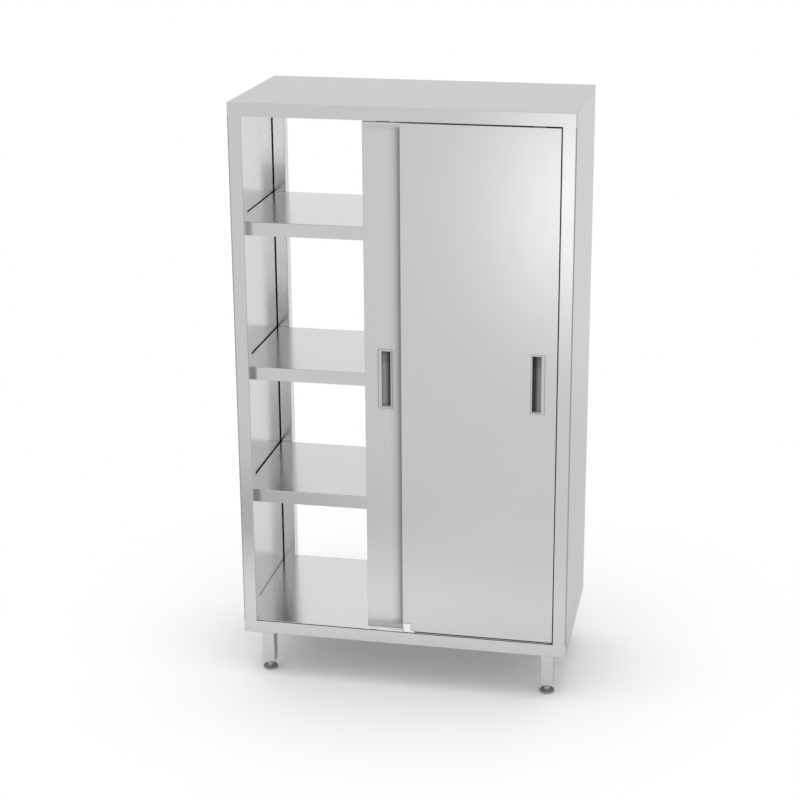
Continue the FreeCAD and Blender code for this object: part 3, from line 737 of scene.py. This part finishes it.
def collar(centre, bottom, top, flats, bore):
    """Hexagon collar whose corners are chamfered by a cone, as on a turned nut."""
    count = 6 * COLLAR_STEPS_PER_FLAT
    angles = [math.tau * step / count for step in range(count)]
    crown = flats / 2 - CROWN_INSET
    sections = []
    for angle in angles:
        from_flat = angle % SIXTH_TURN - SIXTH_TURN / 2
        reach = flats / 2 / math.cos(from_flat)
        shoulder = top - (reach - crown) * math.tan(COLLAR_CHAMFER)
        sections.append(((bore, bottom), (reach, bottom), (reach, shoulder), (crown, top), (bore, top)))
    levels = list(zip(*sections))
    points = []
    faces = []
    for level, spots in enumerate(levels):
        row = level * count
        following = (level + 1) % len(levels) * count
        for step, (radius, height) in enumerate(spots):
            after = (step + 1) % count
            points.append(point_around(centre, radius, angles[step], height))
            faces.append((row + step, row + after, following + after, following + step))
    return points, faces


THREAD_SEGMENTS = 28
THREAD_PITCH = 1.5 * MM
THREAD_DEPTH = 0.85 * MM
# the thread's groove over one pitch, as shares of its depth
THREAD_FORM = (1.0, 0.5, 0.0, 0.5)
RINGS_PER_TURN = len(THREAD_FORM)


def threaded_rod(centre, bottom, top, radius):
    """Rod with a real helical thread; its two ends are closed by flat fans."""
    climb = THREAD_PITCH / RINGS_PER_TURN
    rings = int((top - bottom) / climb) - RINGS_PER_TURN
    points = []
    known = {}

    def spot(ring, step):
        """Index of a point on the helix; one turn on, a ring has climbed by one pitch."""
        if step == THREAD_SEGMENTS:
            ring, step = ring + RINGS_PER_TURN, 0
        if (ring, step) not in known:
            known[ring, step] = len(points)
            angle = math.tau * step / THREAD_SEGMENTS
            height = bottom + climb * (ring + RINGS_PER_TURN * step / THREAD_SEGMENTS)
            reach = radius - THREAD_DEPTH * THREAD_FORM[ring % RINGS_PER_TURN]
            points.append(point_around(centre, reach, angle, height))
        return known[ring, step]

    faces = []
    for ring in range(rings):
        for step in range(THREAD_SEGMENTS):
            low_side = (spot(ring, step), spot(ring, step + 1))
            faces.append((*low_side, spot(ring + 1, step + 1), spot(ring + 1, step)))
    # each end's rim is one turn of the helix and the step back down to where it began
    around = range(THREAD_SEGMENTS)
    descent = range(RINGS_PER_TURN, 0, -1)
    lower = [spot(ring, 0) for ring in descent] + [spot(0, step) for step in around]
    upper = [spot(rings, step) for step in around] + [spot(rings + ring, 0) for ring in descent]
    for rim, height, is_top in ((lower, bottom, False), (upper, top, True)):
        hub = len(points)
        points.append(point_around(centre, 0.0, 0.0, height))
        for here, there in zip(rim, rim[1:] + rim[:1]):
            faces.append((hub, here, there) if is_top else (hub, there, here))
    return points, faces


ROD_RADIUS = 5.0 * MM
# the rod begins inside the collar, and the collar's bore is hidden below the thread's root
ROD_START = 1.0 * MM
COLLAR_BORE = ROD_RADIUS - 1.5 * THREAD_DEPTH


def threaded_stud(name, body, node):
    """Threaded stud with its hexagon collar, in the space of the CAD stud."""
    low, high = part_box(node)
    centre = axis_through(node)
    flats = high[1] - low[1]
    nut = collar(centre, low[2], low[2] + COLLAR_HEIGHT, flats, COLLAR_BORE)
    rod = threaded_rod(centre, low[2] + ROD_START, high[2], ROD_RADIUS)
    piece = new_piece(name, *joined(nut, rod), "zinc")
    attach(piece, body)
    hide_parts(node)


for corner_name in ("front_left", "front_right", "rear_left", "rear_right"):
    foot = f"{corner_name}_foot"
    foot_disc(f"{foot}_disc", foot, f"{foot}_pad")
    threaded_stud(f"{foot}_threaded_stud", foot, f"{foot}_stud")

# ---------------------------------------------------------------- rollers and their rivets

ROLLER_SEGMENTS = 64
TYRE_INSIDE = 7.2 * MM
TYRE_SHOULDER = 0.9 * MM
SHOULDER_STEPS = 4


def tyre(name, body, node):
    """Nylon tyre with rounded shoulders, pressed over the bearing."""
    low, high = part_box(node)
    radius = (high[0] - low[0]) / 2
    half = (high[1] - low[1]) / 2
    bend = radius - TYRE_SHOULDER
    side = half - TYRE_SHOULDER
    profile = [(TYRE_INSIDE, -half)]
    profile += arc(bend, -side, TYRE_SHOULDER, -90, 0, SHOULDER_STEPS)
    profile += arc(bend, side, TYRE_SHOULDER, 0, 90, SHOULDER_STEPS)
    profile += [(TYRE_INSIDE, half)]
    mesh = turned(middle_of(node), profile, ROLLER_SEGMENTS, lying, closed=True)
    piece = new_piece(name, *mesh, "tyre")
    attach(piece, body)
    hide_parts(node)


# the bearing's bore, the edges of its two races, and how far it and its shield are sunk
AXLE_BORE = 3.05 * MM
INNER_RACE = 4.3 * MM
OUTER_RACE = 6.2 * MM
RACE_CHAMFER = 0.1 * MM
BEARING_INSET = 0.1 * MM
SHIELD_SINK = 0.35 * MM


def bearing(name, body, node):
    """Shielded ball bearing inside a tyre: two races with a sunk shield between them."""
    low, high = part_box(node)
    half = (high[1] - low[1]) / 2 - BEARING_INSET
    sunk = half - SHIELD_SINK
    rear = [(AXLE_BORE, half), (INNER_RACE, half), (INNER_RACE + RACE_CHAMFER, sunk)]
    rear += [(OUTER_RACE - RACE_CHAMFER, sunk), (OUTER_RACE, half), (TYRE_INSIDE, half)]
    front = [(radius, -along) for radius, along in rear]
    mesh = turned(middle_of(node), front + rear[::-1], ROLLER_SEGMENTS, lying, closed=True)
    piece = new_piece(name, *mesh, "zinc")
    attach(piece, body)


RIVET_RADIUS = 4.6 * MM
RIVET_HEIGHT = 1.1 * MM
RIVET_SEGMENTS = 32
RIVET_ANGLES = (15, 30, 45, 60, 75)


def rivet(name, body, centre, outwards):
    """Domed head of the axle's rivet on the hanger's plate."""
    profile = [(0.0, 0.0), (RIVET_RADIUS, 0.0)]
    for angle in map(math.radians, RIVET_ANGLES):
        profile.append((RIVET_RADIUS * math.cos(angle), outwards * RIVET_HEIGHT * math.sin(angle)))
    profile.append((0.0, outwards * RIVET_HEIGHT))
    points, faces = turned(centre, profile, RIVET_SEGMENTS, lying)
    # a profile that runs against the axis turns the faces inside out once more
    if outwards < 0:
        faces = [face[::-1] for face in faces]
    piece = new_piece(name, points, faces, "zinc")
    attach(piece, body)


for side, outwards in (("front", -1), ("rear", 1)):
    for lane in ("outer", "inner"):
        door = f"{side}_{lane}_door"
        hanger_low, hanger_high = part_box(f"{door}_hangers")
        plate_face = hanger_low[1] if outwards < 0 else hanger_high[1]
        for hand in ("left", "right"):
            roller = f"{side}_{lane}_{hand}_roller"
            tyre(f"{side}_{lane}_{hand}_tyre", roller, roller)
            bearing(f"{side}_{lane}_{hand}_bearing", roller, roller)
            axle = middle_of(roller)
            rivet(f"{side}_{lane}_{hand}_rivet", door, (axle[0], plate_face, axle[2]), outwards)

# ---------------------------------------------------------------- floor and background

FLOOR_REACH = 30.0
FLOOR_TONE = (0.95, 0.95, 0.95)
FLOOR_ROUGHNESS = 0.9
# distances from the cabinet between which the floor fades into the background
FADE = (0.09, 0.95)


def white_emission(g, strength=1.0):
    made = g.node("ShaderNodeEmission")
    g.feed(made.inputs["Color"], WHITE)
    g.feed(made.inputs["Strength"], strength)
    return made.outputs["Emission"]


def mixed_shader(g, factor, first, second):
    made = g.node("ShaderNodeMixShader")
    g.feed(made.inputs["Fac"], factor)
    g.link(first, made.inputs[1])
    g.link(second, made.inputs[2])
    return made.outputs["Shader"]


def length_of(g, first, second):
    """Length of the diagonal over two numbers at a right angle."""
    return g.math("SQRT", g.math("ADD", g.product(first, first), g.product(second, second)))


def stage_sheet(name, corners):
    """Flat sheet of the studio, which isn't part of the cabinet."""
    mesh = bpy.data.meshes.new(name)
    mesh.from_pydata(corners, [], [(0, 1, 2, 3)])
    made = bpy.data.objects.new(name, mesh)
    SCENE.collection.objects.link(made)
    return made


def floor_material():
    """Pale floor that keeps the shadow near the cabinet and fades into the white background."""
    g = Graph("studio_floor")
    g.wire("Roughness", FLOOR_ROUGHNESS)
    g.wire("Specular IOR Level", 0.0)
    g.wire("Base Color", FLOOR_TONE)
    beyond_x = g.math("MAXIMUM", g.math("SUBTRACT", g.off_centre("X"), HALF_X), 0.0)
    beyond_y = g.math("MAXIMUM", g.math("SUBTRACT", g.off_centre("Y"), HALF_Y), 0.0)
    away = g.rise(length_of(g, beyond_x, beyond_y), *FADE)
    path = g.node("ShaderNodeLightPath")
    seen = g.math("MAXIMUM", path.outputs["Is Camera Ray"], path.outputs["Is Glossy Ray"])
    seen = g.math("MAXIMUM", seen, path.outputs["Is Transmission Ray"])
    matt = g.shader.outputs["BSDF"]
    g.show(mixed_shader(g, g.product(away, seen), matt, white_emission(g)))
    return g.material


floor = stage_sheet("studio_floor", [
    (-FLOOR_REACH, -FLOOR_REACH, 0), (FLOOR_REACH, -FLOOR_REACH, 0),
    (FLOOR_REACH, FLOOR_REACH, 0), (-FLOOR_REACH, FLOOR_REACH, 0),
])
floor.data.materials.append(floor_material())

# ---------------------------------------------------------------- light and studio cards

FLAG_TONE = 0.80
FLAG_DISTANCE = 1.7
FLAG_HALF_WIDTH = 2.2
FLAG_BOTTOM = 1.0 * MM
FLAG_TOP = 3.2
CARD_CORNERS = ((-1, -1), (1, -1), (1, 1), (-1, 1))
UP = Vector((0, 0, 1))
# a card that faces up has no level direction of its own and takes X
LEAST_LEVEL = 0.01
LEVEL_FALLBACK = Vector((1, 0, 0))


def seen_in_reflections_only(made):
    made.visible_camera = False
    made.visible_diffuse = False
    made.visible_shadow = False


def side_flag(name, x):
    """Grey card beside the cabinet that draws its rounded edges as thin darker lines."""
    near, far = -FLAG_HALF_WIDTH, FLAG_HALF_WIDTH
    lower = [(x, near, FLAG_BOTTOM), (x, far, FLAG_BOTTOM)]
    made = stage_sheet(name, [*lower, (x, far, FLAG_TOP), (x, near, FLAG_TOP)])
    g = Graph(name)
    g.show(white_emission(g, FLAG_TONE))
    made.data.materials.append(g.material)
    seen_in_reflections_only(made)


def share_along(g, middle, direction, reach):
    """Distance from a card's middle along one of its directions, as a share of its reach."""
    relative = g.node("ShaderNodeVectorMath", operation="SUBTRACT")
    g.link(g.place, relative.inputs[0])
    relative.inputs[1].default_value = tuple(middle)
    along = g.node("ShaderNodeVectorMath", operation="DOT_PRODUCT")
    g.link(relative.outputs["Vector"], along.inputs[0])
    along.inputs[1].default_value = tuple(direction / reach)
    return along.outputs["Value"]


def soft_card(name, centre, aim, half_across, half_up, tone, opacity):
    """Studio card that is densest in its middle and fades away towards its rim."""
    middle = Vector(centre)
    normal = (Vector(aim) - middle).normalized()
    across = UP.cross(normal)
    across = across.normalized() if across.length > LEAST_LEVEL else LEVEL_FALLBACK
    up = normal.cross(across)
    corners = []
    for a, b in CARD_CORNERS:
        corners.append(tuple(middle + across * half_across * a + up * half_up * b))
    made = stage_sheet(name, corners)
    g = Graph(name)
    beside = share_along(g, middle, across, half_across)
    above = share_along(g, middle, up, half_up)
    density = g.spread(length_of(g, beside, above), opacity, 0.0, 0.0, 1.0, smooth=True)
    clear = g.node("ShaderNodeBsdfTransparent").outputs["BSDF"]
    g.show(mixed_shader(g, density, clear, white_emission(g, tone)))
    made.data.materials.append(g.material)
    seen_in_reflections_only(made)


def softbox(name, place, aim, size, watts):
    """Round area lamp that no reflection shows."""
    data = bpy.data.lights.new(name, "AREA")
    data.shape = "DISK"
    data.size = size
    data.energy = watts
    made = bpy.data.objects.new(name, data)
    SCENE.collection.objects.link(made)
    made.location = place
    made.rotation_mode = "QUATERNION"
    made.rotation_quaternion = (Vector(aim) - Vector(place)).to_track_quat("-Z", "Y")
    made.visible_camera = False
    made.visible_glossy = False


world = bpy.data.worlds.new("studio")
world.use_nodes = True
SCENE.world = world
sky = world.node_tree.nodes["Background"]
sky.inputs["Color"].default_value = (*WHITE, 1.0)
sky.inputs["Strength"].default_value = 1.0

softbox("overhead_softbox", place=(0.0, -0.6, 4.2), aim=(0.0, -0.3, 0.0), size=3.0, watts=30.0)
side_flag("left_flag", -FLAG_DISTANCE)
side_flag("right_flag", FLAG_DISTANCE)
# the bright patch on the outer door
soft_card(
    "front_glow", centre=(0.30, -2.5, 1.05), aim=(0.54, -0.25, 1.55),
    half_across=0.53, half_up=0.85, tone=2.00, opacity=1.0,
)
# the darker zone low on the left half of the front
soft_card(
    "front_shade", centre=(-1.0, -1.48, 0.02), aim=(-1.0, -1.48, 3.0),
    half_across=1.05, half_up=0.55, tone=0.40, opacity=0.75,
)
# the brighter strip below it, on the bottom rail and the doors' lower ends
soft_card(
    "floor_glow", centre=(-0.35, -0.80, 0.01), aim=(-0.35, -0.80, 3.0),
    half_across=1.8, half_up=0.50, tone=1.40, opacity=0.42,
)
# the shade on the lower part of the right side
soft_card(
    "rear_shade", centre=(1.1, 1.2, 0.02), aim=(1.1, 1.2, 3.0),
    half_across=1.1, half_up=2.6, tone=0.60, opacity=0.42,
)

SCENE.view_settings.view_transform = "Standard"
